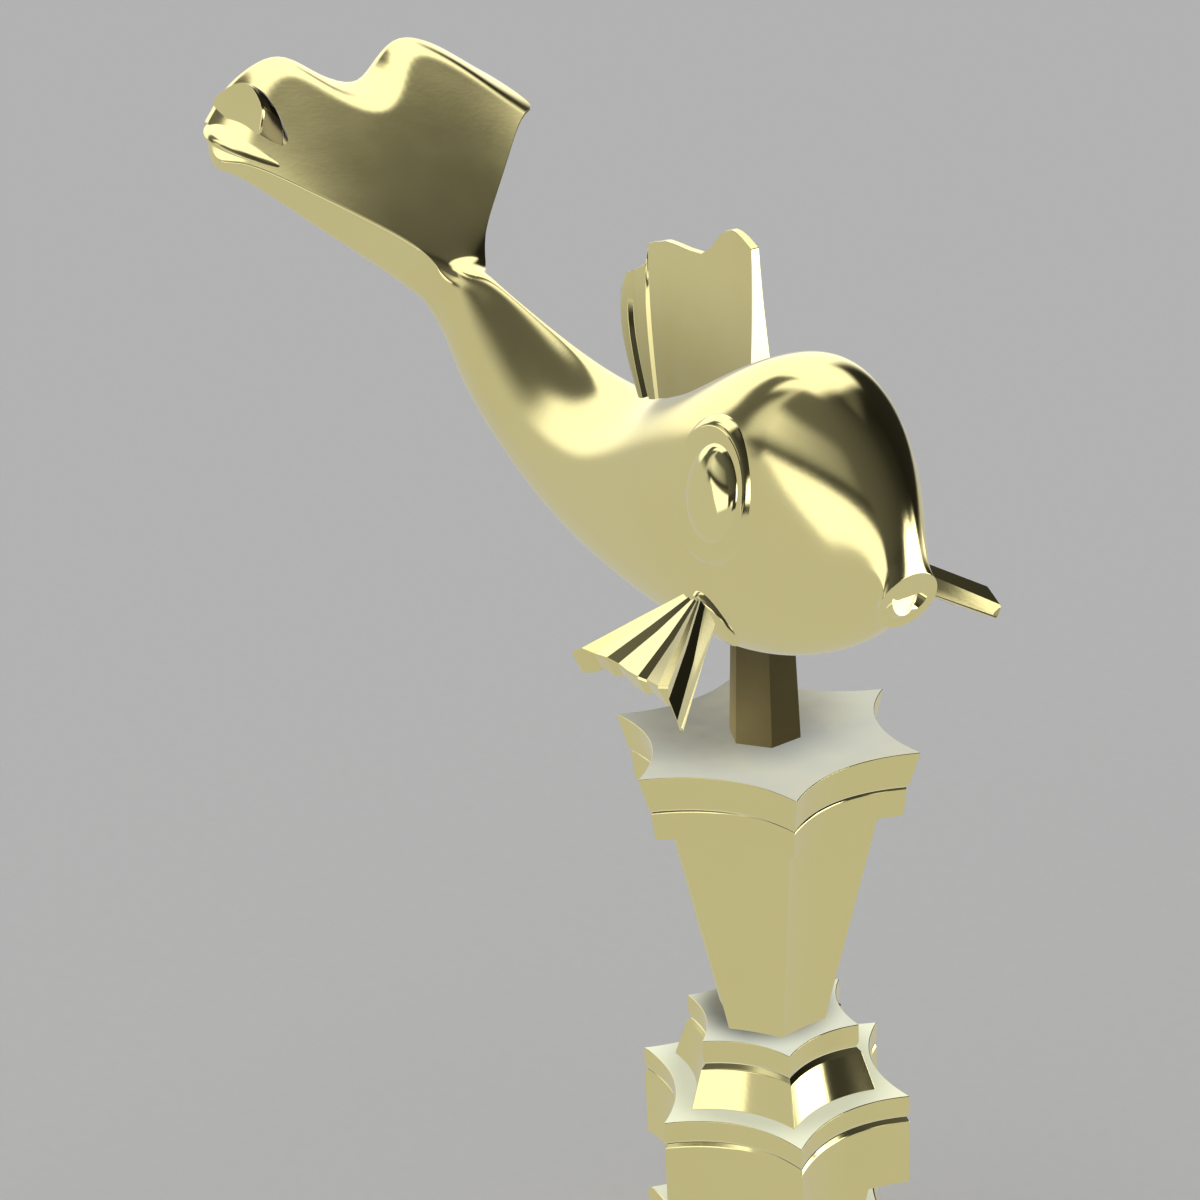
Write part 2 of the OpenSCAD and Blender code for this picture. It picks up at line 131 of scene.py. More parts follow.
def metal(name, base, deep, rough, rough_var=0.05, bump=0.02, scratch=0.3,
          scratch_dir=(60, 60, 600), painted_top_light=None, end_shade=None, grain=900, wear=0.5):
    """Brass or steel: two tones in slow clouds, darker in hollows, brighter
    on worn edges, with smudged gloss, fine polishing lines and a faint
    cast grain."""
    m = bpy.data.materials.new(name)
    m.use_nodes = True
    nt = m.node_tree
    nt.nodes.clear()
    out = nt.nodes.new("ShaderNodeOutputMaterial")
    p = nt.nodes.new("ShaderNodeBsdfPrincipled")
    link(nt, p.outputs[0], out.inputs[0])
    p.inputs["Metallic"].default_value = 1.0
    vec = mapped(nt, (1, 1, 1))
    cloud = noise(nt, vec, 28.0, 5.0, 0.55)
    tone = ramp(nt, cloud, [(0.3, deep), (0.62, base)], "EASE")
    geo = nt.nodes.new("ShaderNodeNewGeometry")
    edge = ramp(nt, geo.outputs["Pointiness"], [(0.44, 0.0), (0.5, 0.5), (0.56, 1.0)])
    hollow = ramp(nt, geo.outputs["Pointiness"], [(0.40, 1.0), (0.48, 0.0)])
    worn = tuple(min(1.0, c * 1.08 + 0.02) for c in base)
    dark = tuple(c * 0.72 for c in deep)
    fac_e = math_node(nt, "MULTIPLY", edge, wear * 0.5)
    col = mix(nt, fac_e, tone, worn)
    fac_h = math_node(nt, "MULTIPLY", hollow, 0.35)
    col = mix(nt, fac_h, col, dark)
    if painted_top_light is not None:
        # upward faces painted pale, a painted reflection of the light overhead, in slow blotches
        sep = nt.nodes.new("ShaderNodeSeparateXYZ")
        link(nt, geo.outputs["Normal"], sep.inputs[0])
        up = ramp(nt, sep.outputs[2], [(0.82, 0.0), (0.97, 1.0)], "EASE")
        blot = noise(nt, vec, 55.0, 3.0, 0.5)
        up = math_node(nt, "MULTIPLY", up, ramp(nt, blot, [(0.25, 0.86), (0.7, 1.0)]))
        # painted shadow round the foot of what stands on it: centre, inner and outer
        # radius in mm, how much light is left there
        tint, (cx, r0, r1, left) = painted_top_light[:3], painted_top_light[3:]
        flat = mapped(nt, (1, 1, 0), (-cx * 0.001, 0, 0))
        d = nt.nodes.new("ShaderNodeVectorMath")
        d.operation = "LENGTH"
        link(nt, flat, d.inputs[0])
        r = math_node(nt, "MULTIPLY", d.outputs["Value"], 1000.0 / 50)
        shade = ramp(nt, r, [(r0 / 50, left), (r1 / 50, 1.0)], "EASE")
        col = mix(nt, up, col, mix(nt, 1.0, tint, shade, "MULTIPLY"))
    if end_shade is not None:
        # painted shade towards one end: heights in mm and the light left at each
        z0, k0, z1, k1 = end_shade
        zs = nt.nodes.new("ShaderNodeSeparateXYZ")
        link(nt, vec, zs.inputs[0])
        t = math_node(nt, "DIVIDE", math_node(nt, "SUBTRACT", zs.outputs[2], z0 * 0.001), (z1 - z0) * 0.001, True)
        col = mix(nt, 1.0, col, ramp(nt, t, [(0.0, k0), (1.0, k1)], "EASE"), "MULTIPLY")
    link(nt, col, p.inputs["Base Color"])
    smudge = noise(nt, mapped(nt, (1, 1, 1), (3, 7, 1)), 46.0, 6.0, 0.62)
    lines = noise(nt, mapped(nt, scratch_dir), 9.0, 3.0, 0.7)
    rr = ramp(nt, smudge, [(0.25, rough - rough_var * 0.5), (0.75, rough + rough_var)])
    rl = ramp(nt, lines, [(0.45, 0.0), (0.75, rough_var * scratch)])
    rsum = math_node(nt, "ADD", rr, rl, True)
    link(nt, rsum, p.inputs["Roughness"])
    g = noise(nt, mapped(nt, (1, 1, 1), (1, 2, 5)), grain, 2.0, 0.5)
    slow = noise(nt, mapped(nt, (1, 1, 1), (9, 4, 2)), 70.0, 2.0, 0.5)
    hsum = math_node(nt, "ADD", math_node(nt, "MULTIPLY", g, 0.25),
                     math_node(nt, "ADD", math_node(nt, "MULTIPLY", lines, scratch * 0.4), slow))
    b = nt.nodes.new("ShaderNodeBump")
    b.inputs["Strength"].default_value = bump
    b.inputs["Distance"].default_value = 0.0004
    link(nt, hsum, b.inputs["Height"])
    link(nt, b.outputs[0], p.inputs["Normal"])
    return m


BRASS = (1.0, 0.885, 0.425)
BRASS_DEEP = (0.965, 0.845, 0.385)
fish_brass = metal("fish_brass", BRASS, BRASS_DEEP, 0.115, 0.035, 0.04, 0.2)
# near-black brass: painted shadow for the fold under the tail's cut corner
fold_shadow_brass = metal("fold_shadow_brass", (0.30, 0.25, 0.12), (0.17, 0.14, 0.065), 0.2, 0.05, 0.05, 0.25)
lens_brass = metal("lens_brass", (1.0, 0.9, 0.44), (0.98, 0.87, 0.41), 0.05, 0.02, 0.02, 0.15)
# painted shade: the post darkens towards its top under the belly, the dorsal fin towards its foot on the back
post_brass = metal("post_brass", (0.62, 0.52, 0.25), (0.57, 0.475, 0.22), 0.80, 0.05, 0.05, 0.4, (420, 420, 30),
                   end_shade=(160, 1.0, 186, 0.5))
dorsal_brass = metal("dorsal_brass", BRASS, (0.95, 0.83, 0.37), 0.10, 0.04, 0.06, 0.5, (90, 90, 420),
                     end_shade=(228, 0.6, 262, 0.98))
TIER = (1.0, 0.885, 0.415), (0.98, 0.865, 0.395), 0.13, 0.04, 0.05, 0.5, (300, 300, 40)
# Tier tops get a painted pale reflection and a painted shadow round the post or column, deepest on the cap under the
# fish.
pedestal_brass = metal("pedestal_brass", *TIER, painted_top_light=(0.62, 0.64, 0.50, 0, 20, 32, .75))
cap_brass = metal("cap_brass", *TIER, painted_top_light=(0.445, 0.455, 0.385, -14, 12, 36, .28))
neck_brass = metal("neck_brass", *TIER, painted_top_light=(0.60, 0.62, 0.52, -3, 10, 20, .16))
shoulder_brass = metal("shoulder_brass", *TIER, painted_top_light=(0.74, 0.76, 0.57, 0, 20, 31, .66))
hidden_brass = metal("hidden_brass", (0.74, 0.63, 0.33), (0.58, 0.47, 0.23), 0.33, 0.08, 0.2, 0.9, (40, 40, 700))
steel = metal("fastener_steel", (0.60, 0.60, 0.61), (0.45, 0.45, 0.47), 0.30, 0.08, 0.2, 0.9, (50, 50, 800))


def felt_material():
    m = bpy.data.materials.new("green_felt")
    m.use_nodes = True
    nt = m.node_tree
    nt.nodes.clear()
    out = nt.nodes.new("ShaderNodeOutputMaterial")
    p = nt.nodes.new("ShaderNodeBsdfPrincipled")
    link(nt, p.outputs[0], out.inputs[0])
    p.inputs["Sheen Weight"].default_value = 0.5
    p.inputs["Sheen Roughness"].default_value = 0.6
    vec = mapped(nt, (1, 1, 1))
    fibre = noise(nt, vec, 950.0, 8.0, 0.7)
    blot = noise(nt, vec, 60.0, 4.0, 0.6)
    col = ramp(nt, fibre, [(0.3, (0.018, 0.045, 0.026)), (0.5, (0.045, 0.10, 0.055)), (0.72, (0.11, 0.19, 0.11))])
    col = mix(nt, ramp(nt, blot, [(0.35, 0.0), (0.75, 0.35)]), col, (0.03, 0.06, 0.04))
    link(nt, col, p.inputs["Base Color"])
    link(nt, ramp(nt, fibre, [(0.2, 0.88), (0.8, 1.0)]), p.inputs["Roughness"])
    b = nt.nodes.new("ShaderNodeBump")
    b.inputs["Strength"].default_value = 0.7
    b.inputs["Distance"].default_value = 0.0005
    link(nt, fibre, b.inputs["Height"])
    link(nt, b.outputs[0], p.inputs["Normal"])
    return m


felt = felt_material()


# --------------------------------------------------------------- meshes
def add_mesh(name, verts, faces, mat, nodes, sharp=None, ride=True):
    """A piece from points in mm above the frame's origin. sharp is the
    angle in degrees over which an edge stays crisp."""
    me = bpy.data.meshes.new(name)
    me.from_pydata([tuple(float(c) * 0.001 for c in v) for v in verts], [], [tuple(int(i) for i in f) for f in faces])
    me.validate()
    bm = bmesh.new()
    bm.from_mesh(me)
    bmesh.ops.remove_doubles(bm, verts=bm.verts, dist=1e-7)
    bmesh.ops.dissolve_degenerate(bm, edges=bm.edges, dist=1e-8)
    bmesh.ops.recalc_face_normals(bm, faces=bm.faces)
    for f in bm.faces:
        f.smooth = True
    if sharp is not None:
        lim = math.radians(sharp)
        for e in bm.edges:
            if len(e.link_faces) == 2 and e.calc_face_angle(0) > lim:
                e.smooth = False
    bm.to_mesh(me)
    bm.free()
    ob = bpy.data.objects.new(name, me)
    scene.collection.objects.link(ob)
    me.materials.append(mat)
    if nodes:
        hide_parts(*nodes)
    if ride:
        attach(ob, "root")
    return ob


def bevelled(ob, width_mm, segments=2, angle=30, harden=True):
    b = ob.modifiers.new("edge", "BEVEL")
    b.width = width_mm * 0.001
    b.segments = segments
    b.limit_method = "ANGLE"
    b.angle_limit = math.radians(angle)
    b.harden_normals = harden
    b.use_clamp_overlap = True
    b.miter_outer = "MITER_ARC"
    return ob


def grid_faces(n, m, closed=True):
    f = []
    for i in range(n - 1):
        for j in range(m if closed else m - 1):
            k = (j + 1) % m
            f.append((i * m + j, (i + 1) * m + j, (i + 1) * m + k, i * m + k))
    return f


def spline_rows(P, us):
    """Uniform cubic spline through the rows' control values."""
    P = np.asarray(P, float)
    E = np.vstack([2 * P[0] - P[1], P, 2 * P[-1] - P[-2]])
    out = []
    for u in us:
        i = min(int(math.floor(u)), len(P) - 2)
        t = u - i
        b = ((1 - t) ** 3 / 6, (3 * t ** 3 - 6 * t * t + 4) / 6, (-3 * t ** 3 + 3 * t * t + 3 * t + 1) / 6, t ** 3 / 6)
        out.append(sum(b[k] * E[i + k] for k in range(4)))
    return np.array(out)


def spw(v, e):
    return np.sign(v) * np.abs(v) ** e


# ------------------------------------------------- fish body and tail
TAIL_O = np.array([-104.0, 85.5])
A0 = -4.0


def tail_xz(a, h):
    return (TAIL_O[0] + (h - a) * R2, TAIL_O[1] + (h + a) * R2)


JT = tail_xz(A0, 4.5)
JB = tail_xz(A0, -18.2)
# top x, top z, bottom x, bottom z, half width, height share of the widest
# line, upper exponent, lower exponent
BODY = [
    [JT[0], JT[1], JB[0], JB[1], 6, .45, 1.7, 2.0],
    [-92, 84, -102, 56, 9, .45, 1.3, 2.0],
    [-78, 79, -87, 47, 12, .45, 1.3, 2.1],
    [-60, 73, -69, 38, 15.5, .45, 1.3, 2.1],
    [-38, 66, -45, 30, 20, .50, 1.8, 2.1],
    [-16, 74, -19, 24, 23, .50, 2.4, 2.2],
    [6, 87, 4, 21, 25, .48, 2.2, 2.2],
    [23, 89.5, 22, 25, 21, .46, 2.2, 2.2],
    [37.5, 77, 33, 31, 13.5, .42, 2.2, 2.2],
    [44, 62, 39, 36, 7.5, .45, 2.2, 2.2],
    [45.5, 52, 42, 38, 6.5, .5, 2, 2],
    [46, 49, 43, 37.5, 8, .5, 2, 2]]
NV = 128                             # points round a ring
HALF = NV // 2


def ring_angles():
    # top half from the right edge over the back, then the belly back
    t = np.linspace(-90, 90, HALF + 1)
    return np.radians(t)


TH = ring_angles()


def body_ring(r, tt=0.0, tb=0.0, tw=0.0):
    L = math.hypot(r[0] - r[2], r[1] - r[3])
    ux, uz = (r[0] - r[2]) / L, (r[1] - r[3]) / L
    xb, zb = r[2] + ux * tb, r[3] + uz * tb
    d, w = L - tt - tb, r[4] - tw
    pts = []
    for c, s, p in [(math.cos(t), math.sin(t), r[6]) for t in TH] + \
                   [(-math.cos(t), math.sin(t), r[7]) for t in TH[-2:0:-1]]:
        k = float(spw(c, 2 / p))
        f = r[5] + (1 - r[5]) * k if k >= 0 else r[5] + r[5] * k
        pts.append((xb + ux * d * f, w * float(spw(s, 2 / p)), zb + uz * d * f))
    return pts


TAIL = [
    [-4, 0, 6, -7, 11.5, .3, 11.2],
    [0, 0, 6.2, -2.8, 3, 2.5, 14.5],
    [4, 0, 6.8, -.6, .3, 4.5, 17.2],
    [10, 0, 9.9, 0, 0, 6, 19.5],
    [17, 0, 16, 0, 0, 7, 19.5],
    [25.5, 0, 24, 0, 0, 7.8, 17.5],
    [33, .1, 31.6, 0, 0, 6.5, 15],
    [39, .3, 37.4, 0, 0, 5.2, 12.5],
    [45, .55, 42.6, 0, 0, 3.6, 10],
    [50, .75, 45.4, 0, 0, 2.2, 8],
    [55, .9, 44.4, 0, 0, 1.6, 6.4],
    [60.5, 1, 41, 0, 0, 1.4, 4.8]]
# distance from the mid-plane, end of the tail, fall of its curl, its width
EDGE = [[0, 60.5, 5.2, 15], [8, 66, 5.8, 15.5], [16, 72, 1.6, 8], [24, 70.5, 2.4, 9],
        [32, 67.5, 5, 15], [40, 60, 5.6, 20], [47, 52, 4.4, 18]]


def ease(t):
    t = min(1.0, max(0.0, t))
    return t * t * (3 - 2 * t)


def edge_at(q):
    E = np.array(EDGE, float)
    ys = E[:, 0]
    q = min(q, ys[-1])
    i = min(int(np.searchsorted(ys, q, side="right") - 1), len(E) - 2)
    t = (q - ys[i]) / (ys[i + 1] - ys[i])
    ext = np.vstack([E[1], E, 2 * E[-1] - E[-2]])
    b = ((1 - t) ** 3 / 6, (3 * t ** 3 - 6 * t * t + 4) / 6, (-3 * t ** 3 + 3 * t * t + 3 * t + 1) / 6, t ** 3 / 6)
    return sum(b[k] * ext[i + k] for k in range(4))


def tail_pt(r, s, under, grow=0.0, squeeze=1.0):
    """Point of the tail. grow moves it past its station, squeeze pulls the
    two skins together for the rounded trailing rim."""
    y = r[2] * s
    q = abs(y)
    e = edge_at(q)
    a = r[0] + r[1] * (e[1] - 60.5) + grow
    curl = e[2] * max(0.0, 1 + (a - e[1]) / e[3]) ** 2
    crown = .0014 * y * y * ease((r[0] - 2) / 50)
    rim = max(0.0, 1 - s * s)
    drop = curl + crown
    top = r[3] + r[4] * rim ** .6 - drop
    bot = r[3] - drop - r[5] - max(0.0, r[6] - r[5]) * max(0.0, 1 - abs(s) ** 2.6) ** .385
    mid = (top + bot) / 2
    h = mid + ((bot if under else top) - mid) * squeeze
    x = tail_xz(a, h)
    return (x[0], y, x[1])


def tail_ring(r, grow=0.0, squeeze=1.0):
    return [tail_pt(r, math.sin(t), False, grow, squeeze) for t in TH] + \
           [tail_pt(r, math.sin(t), True, grow, squeeze) for t in TH[-2:0:-1]]


def build_skin():
    """Rings from the trailing edge of the tail to the mouth's rim."""
    rings = []
    last = spline_rows(TAIL, [11])[0]
    for deg in (80, 65, 50, 35, 20, 8):
        f = math.radians(deg)
        rings.append(tail_ring(last, 1.6 * math.sin(f) - 1.6, math.cos(f)))
    us = np.linspace(11, 0, 89)
    tails = [tail_ring(r, -1.6 * min(1.0, max(0.0, (u - 10) / 1.0))) for u, r in zip(us, spline_rows(TAIL, us))]
    rings += tails[:-1]
    n_tail = len(rings)
    ub = np.linspace(0, 11, 177)
    rings += [body_ring(r) for r in spline_rows(BODY, ub)]
    S = np.array(rings)
    # ease the two shapes into each other across the joint
    lo, hi = n_tail - 14, n_tail + 12
    for _ in range(40):
        T = S.copy()
        T[lo:hi] = 0.5 * S[lo:hi] + 0.25 * (S[lo - 1:hi - 1] + S[lo + 1:hi + 1])
        S = T
    return S, n_tail


SKIN, N_TAIL = build_skin()


def lifted(P):
    P = np.array(P, float)
    P[..., 2] += CAP_Z
    return P


def make_tail():
    rings = SKIN[:N_TAIL + 1]
    n = len(rings)
    V = lifted(rings.reshape(-1, 3))
    F = grid_faces(n, NV)
    # close the rim between the first ring's two skins, and the joint face
    for j in range(HALF):
        a, b = j, j + 1
        c, d = (NV - j) % NV, NV - j - 1
        if j == 0:
            F.append((0, 1, NV - 1))
        elif j == HALF - 1:
            F.append((a, b, d))
        else:
            F.append((a, b, d, c))
    o = (n - 1) * NV
    F.append(tuple(o + j for j in range(NV)))
    return add_mesh("tail_cast", V, F, fish_brass, ["tail_fin"], sharp=38)


def make_body():
    rings = [r for r in SKIN[N_TAIL:]]
    mouth = spline_rows(BODY, [11])[0]
    inner = spline_rows(BODY, [10.9, 10.5, 10.0, 9.6])
    # the slit is a half moon under a broad upper lip
    for r in [mouth] + list(inner):
        r[5], r[6] = .72, 3.4
    extra = [body_ring(spline_rows(BODY, [11])[0], .25, .25, .25), body_ring(mouth, 4.9, 1.6, 1.3)]
    extra += [body_ring(inner[0], 5.3, 1.9, 1.7), body_ring(inner[0], 5.5, 2.2, 2.2)]
    back = np.array(body_ring(inner[1], 5.5, 2.7, 2.6))
    c = back.mean(0)
    back[:, 0] += -.31 * (back[:, 1] - c[1]) - .41 * (back[:, 2] - c[2])
    R = np.array(rings + extra + [back])
    n = len(R)
    V = lifted(R.reshape(-1, 3))
    F = grid_faces(n, NV)
    F.append(tuple(range(NV)))
    o = (n - 1) * NV
    F.append(tuple(o + j for j in range(NV)))
    return add_mesh("body_cast", V, F, fish_brass, ["fish_body"], sharp=38)


tail = make_tail()
body = make_body()


def smooth_loop(P, n):
    """n points between each pair of a closed row, through all of them."""
    P = np.asarray(P, float)
    m = len(P)
    out = []
    for i in range(m):
        a, b, c, d = P[i - 1], P[i], P[(i + 1) % m], P[(i + 2) % m]
        for k in range(n):
            t = k / n
            out.append(.5 * (2 * b + (c - a) * t + (2 * a - 5 * b + 4 * c - d) * t * t + (3 * b - a - 3 * c + d) * t ** 3))
    return np.array(out)


# the cut corner of the right lobe: height over the tail's face, distance
# along the tail, distance from the mid-plane
CORNER = [(-4.4, 61, 38.9), (-1.6, 61.6, 37.6), (1.6, 60.9, 36.1), (4.2, 59.6, 34.5), (5.4, 57.5, 33.5),
          (5, 54.8, 32.8), (3.6, 52, 32.5), (1.2, 49.8, 33), (-1.2, 48.6, 33.8), (-2.8, 51.2, 35.3), (-4.2, 56, 37.4)]


def make_corner(name, mat, steps, spread, edge):
    """Loft from the cut's outline. steps: height, distance along the tail and
    towards the mid-plane; spread draws its low end further towards the stem."""
    ring = smooth_loop(CORNER, 4)
    n = len(ring)
    c = ring.mean(0)
    V, F = [], []
    for dh, da, dy, k in steps:
        for h, a, y in ring:
            low = ease((61 - a) / 12) * spread * k
            x, z = tail_xz(a + da - low, h + dh)
            V.append((x, -(y + dy), z + CAP_Z))
    m = len(steps)
    F += grid_faces(m, n)
    for base, (dh, da, dy, k) in ((0, steps[0]), ((m - 1) * n, steps[-1])):
        x, z = tail_xz(c[1] + da - .5 * spread * k, c[0] + dh)
        V.append((x, -(c[2] + dy), z + CAP_Z))
        o = len(V) - 1
        for j in range(n):
            F.append((base + j, base + (j + 1) % n, o))
    ob = add_mesh(name, V, F, mat, ["tail_fin"], sharp=32)
    return bevelled(ob, edge, 2, 32)


make_corner("tail_corner", fish_brass, ((0, 0, 0, 0), (-.2, -.2, -.7, 0), (-1.4, -.6, -1.9, 0)), 0, .12)
# a dark sheet lofted under the cut corner, painted shadow in the fold there
make_corner("tail_fold_shadow", fold_shadow_brass,
            ((-.3, -.2, -.6, 0), (-.5, -.6, -2, .35), (-1.6, -1, -3.8, .8), (-4, -1.3, -5.4, 1), (-7, -1.4, -6.4, 1)), 5.5, .1)


def tube(name, path, radii, mat, nodes, n=10):
    """A closed round bead along a path."""
    P = [Vector(p) for p in path]
    V, F = [], []
    side = None
    for i, p in enumerate(P):
        d = (P[min(i + 1, len(P) - 1)] - P[max(i - 1, 0)]).normalized()
        side = (Vector((0, 0, 1)) if side is None else side)
        side = (side - d * side.dot(d)).normalized()
        other = d.cross(side)
        for k in range(n):
            t = 2 * math.pi * k / n
            V.append(p + (side * math.cos(t) + other * math.sin(t)) * radii[i])
    F += grid_faces(len(P), n)
    F.append(tuple(range(n)))
    o = (len(P) - 1) * n
    F.append(tuple(o + j for j in range(n)))
    return add_mesh(name, V, F, mat, nodes, sharp=60)


# the roll under the cut corner: height, distance along the tail, distance
# from the mid-plane, half width, rise
ROLL = [(-7.6, 58.4, 37.9, 1.6, .5), (-6.8, 56, 39.2, 3, 1.6), (-5.3, 52.8, 40, 3.6, 1.9), (-4, 49.8, 39.8, 3.7, 1.9),
        (-2.9, 46.8, 38.6, 3.3, 1.7), (-2.2, 44.1, 36.7, 2.8, 1.3), (-1.7, 41.5, 34.6, 2, .9), (-1.5, 38, 31.2, .5, .2)]


def make_roll():
    rows = spline_rows(ROLL, np.linspace(0, len(ROLL) - 1, 50))
    P = []
    for h, a, y, w, k in rows:
        x, z = tail_xz(a, h)
        P.append(Vector((x, -y, z + CAP_Z)))
    V, n = [], 28
    for i, (h, a, y, w, k) in enumerate(rows):
        d = (P[min(i + 1, len(P) - 1)] - P[max(i - 1, 0)]).normalized()
        cx, cz = tail_xz(1, 0)
        ox, oz = tail_xz(0, 0)
        c = Vector(((cx - ox) * .7, .7, (cz - oz) * .7))
        c = (c - d * c.dot(d)).normalized()
        up = c.cross(d)
        if up.z < 0:
            up = -up
        for j in range(n):
            t = 2 * math.pi * j / n
            lift = math.sin(t) * (k if math.sin(t) > 0 else .6 * min(1, k))
            V.append(P[i] + c * w * (math.cos(t) - .7 * max(0, math.sin(t))) + up * lift)
    F = grid_faces(len(P), n)
    F.append(tuple(range(n)))
    o = (len(P) - 1) * n
    F.append(tuple(o + j for j in range(n)))
    return add_mesh("tail_roll", V, F, fish_brass, ["tail_fin"], sharp=60)


make_roll()

# the fine bead along each leading edge of the tail
for side, tag in ((-1, "right"), (1, "left")):
    us = np.linspace(2.2, 9.6, 60)
    path = [Vector(tail_pt(r, side * .999, False)) + Vector((-.53, side * -.35, CAP_Z - .53)) for r in spline_rows(TAIL, us)]
    tube("tail_bead_" + tag, path, [.12 + .45 * ease(i / 8) * ease((59 - i) / 8) for i in range(60)], fish_brass,
         ["tail_fin"])


# ---------------------------------------------------------- dorsal fin
# from the front edge back: top x, top z, foot x, foot z, half thickness at
# the top and at the foot, bow of the column
LAMELLA = [
    (.9, 106.9, 1.8, 81.6, 1.05, 2.8, 0), (-.6, 107.9, .8, 81, 1, 2.7, 0), (-2, 108.8, -.6, 80.4, .95, 2.3, 0),
    (-3.8, 109.6, -2.8, 79.2, .9, 1.9, 0), (-5.4, 109.9, -4.8, 78.2, .9, 1.6, 0), (-6.9, 109.6, -6.8, 77.2, .9, 1.4, 0),
    (-9, 108.4, -9, 76.1, .9, 1.3, 0), (-12, 105.4, -12.2, 74.5, .9, 1.2, 0), (-15.3, 103.5, -16, 72.5, .9, 1.2, 0),
    (-20, 103.7, -20, 70.9, .9, 1.2, 0), (-24, 104.2, -23.4, 69.6, .9, 1.2, 0), (-27, 104.4, -26, 68.6, .95, 1.3, 0),
    (-28.2, 104.2, -27, 68.3, 1.25, 1.55, -.2), (-30, 104, -28.5, 68, 1.3, 1.6, -.4),
    (-31.6, 103.5, -30, 67.7, 1, 1.3, -.6), (-33, 103, -31, 67.6, .9, 1.2, -.8),
    (-33.3, 98.6, -31.4, 67.5, 1.7, 1.9, -1), (-35, 97.9, -32.6, 67.2, 1.8, 2, -1.4),
    (-36.2, 97.4, -33.5, 67, 1.7, 1.9, -1.7), (-36.8, 97.2, -34, 66.9, .5, .7, -2),
    (-38.4, 96.5, -35.2, 66.7, .4, .6, -2.5), (-38.8, 96.3, -35.5, 66.65, 1.7, 1.9, -2.7),
    (-40, 95.8, -36.4, 66.5, 1.8, 2, -3.2), (-41.1, 95.2, -37.3, 66.3, 1.3, 1.5, -3.7)]


def make_dorsal():
    V = []
    n = 9
    for xt, zt, xb, zb, t1, t2, bow in LAMELLA:
        col = []
        for i in range(n):
            k = i / (n - 1)
            b = bow * math.sin(math.pi * k ** .8)
            col.append((xt + (xb - xt) * k + b, t1 + (t2 - t1) * k ** 1.5, zt + (zb - zt) * k + CAP_Z))
        V += [(x, -t, z) for x, t, z in col] + [(x, t, z) for x, t, z in reversed(col)]
    m = 2 * n
    F = grid_faces(len(LAMELLA), m)
    F.append(tuple(range(m)))
    o = (len(LAMELLA) - 1) * m
    F.append(tuple(o + j for j in range(m)))
    ob = add_mesh("dorsal_cast", V, F, dorsal_brass, ["dorsal_fin"], sharp=24)
    return bevelled(ob, 0.18, 2, 50)


dorsal = make_dorsal()


# ------------------------------------------------------- pectoral fins
# folds from the back edge to the front: root, tip, tip's reach, tip height,
# thickness
FAN = [[-3.4, -17.6, 22.6, .3, 6.8], [-3, -15.4, 21.4, 1.1, 7], [-2.4, -13.4, 20.2, -.9, 5.8],
       [-1.6, -8.4, 20.4, .2, 6.4], [-1.2, -6.6, 19.6, -1.6, 5.6], [-.4, -1.6, 20.8, -.5, 6.2],
       [.4, 3.4, 21.6, .6, 5.6], [.8, 4.7, 20.8, -.6, 5.2], [1.6, 10.8, 22, 1.3, 5.4],
       [1.9, 12, 20.6, .4, 5], [2.6, 16.4, 23.8, 1.6, 5.4], [3.4, 19.6, 25.9, -1.2, 5],
       [3.6, 19.2, 26.1, -3.4, 5]]
FIN_ROOT = np.array([7.0, -22.0, 38.0])


def fin_point(u, w, h, side):
    a = math.radians(27)
    y, z = -w, h
    p = np.array([u, y * math.cos(a) - z * math.sin(a), y * math.sin(a) + z * math.cos(a)]) + FIN_ROOT
    return (p[0], p[1] * side * -1, p[2] + CAP_Z)


def make_pectoral(side, name, node_name):
    V, F = [], []
    for f in FAN:
        low = -f[4] + .8
        for u, w, h in ((f[0], 1, f[3] * .4 + 2.2), ((f[0] + f[1]) / 2, f[2] / 2, f[3] * .8 + .9), (f[1], f[2], f[3]),
                        (f[1] * 1.01, f[2] + .3, f[3] - .5), (f[1] * 1.01, f[2] + .3, low + .5), (f[1], f[2], low),
                        (f[0], 1, -3.5)):
            V.append(fin_point(u, w, h, side))
    n = len(FAN)
    m = 7
    F.append(tuple(range(m)))
    for i in range(n - 1):
        for j in range(m):
            k = (j + 1) % m
            F.append((i * m + j, (i + 1) * m + j, (i + 1) * m + k, i * m + k))
    F.append(tuple((n - 1) * m + j for j in range(m - 1, -1, -1)))
    ob = add_mesh(name, V, F, fish_brass, [node_name], sharp=20)
    bevelled(ob, 0.14, 2, 20)
    # the fairing between the fan's front fold and the flank, a low pad
    n = Vector((.15, -.85, -.5)).normalized()
    e1 = Vector((.3, .45, -.85))
    e1 = (e1 - n * e1.dot(n)).normalized()
    e2 = n.cross(e1)
    V = []
    for k, d in ((.9, -3.5), (1, -1.2), (.99, -.2), (.95, .5), (.86, .95), (.6, 1.25), (.25, 1.35)):
        for q in range(32):
            g = 2 * math.pi * q / 32
            c, w = math.cos(g), math.sin(g)
            p = Vector((8.4, -19.4, 34)) + e1 * 7.6 * k * c + e2 * (3.2 - .8 * c) * k * w + n * d
            V.append((p.x, -p.y * side, p.z + CAP_Z))
    F = grid_faces(7, 32)
    F.append(tuple(range(32)))
    F.append(tuple(6 * 32 + q for q in range(32)))
    add_mesh(name + "_fairing", V, F, fish_brass, [node_name], sharp=60)
    return ob


pec_r = make_pectoral(-1, "pectoral_cast_right", "pectoral_fin_right")
pec_l = make_pectoral(1, "pectoral_cast_left", "pectoral_fin_left")


# ----------------------------------------------------------------- eyes
EYE_C = np.array([12.1, -23.5, 63.7])
EYE_UP, EYE_FWD = 10.0, 9.4
EYE_A, EYE_B = 9.0, 13.2


